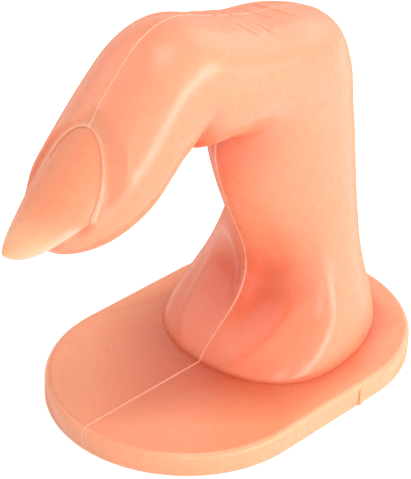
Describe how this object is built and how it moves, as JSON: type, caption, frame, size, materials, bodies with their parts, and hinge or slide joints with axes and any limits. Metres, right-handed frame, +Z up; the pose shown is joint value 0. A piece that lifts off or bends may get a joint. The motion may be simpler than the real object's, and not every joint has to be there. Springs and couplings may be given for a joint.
{
  "type": "nail practice finger",
  "caption": "Bent practice finger standing on an oblong foot plate, with a nail tip that slides into a slot under the cuticle fold.",
  "frame": {"origin": "middle of the flat underside of the foot plate", "axes": "+Z up from the plate to the bent knuckle, -Y forward to the fingertip and the nail, X across the finger with X = 0 as its mould parting plane"},
  "size_m": [0.0483, 0.0886, 0.074],
  "materials": {
    "vinyl_skin": "soft glossy peach vinyl",
    "nail_plastic": "thin translucent natural nail plastic, glossy"
  },
  "bodies": {
    "finger": {"finger_body": "vinyl_skin"},
    "nail": {"nail_tip": "nail_plastic"}
  },
  "joints": [
    {"name": "nail_slide", "type": "slide", "parent": "finger", "child": "nail", "axis": [0, -0.7511, -0.6602], "range_m": [0, 0.017]}
  ]
}
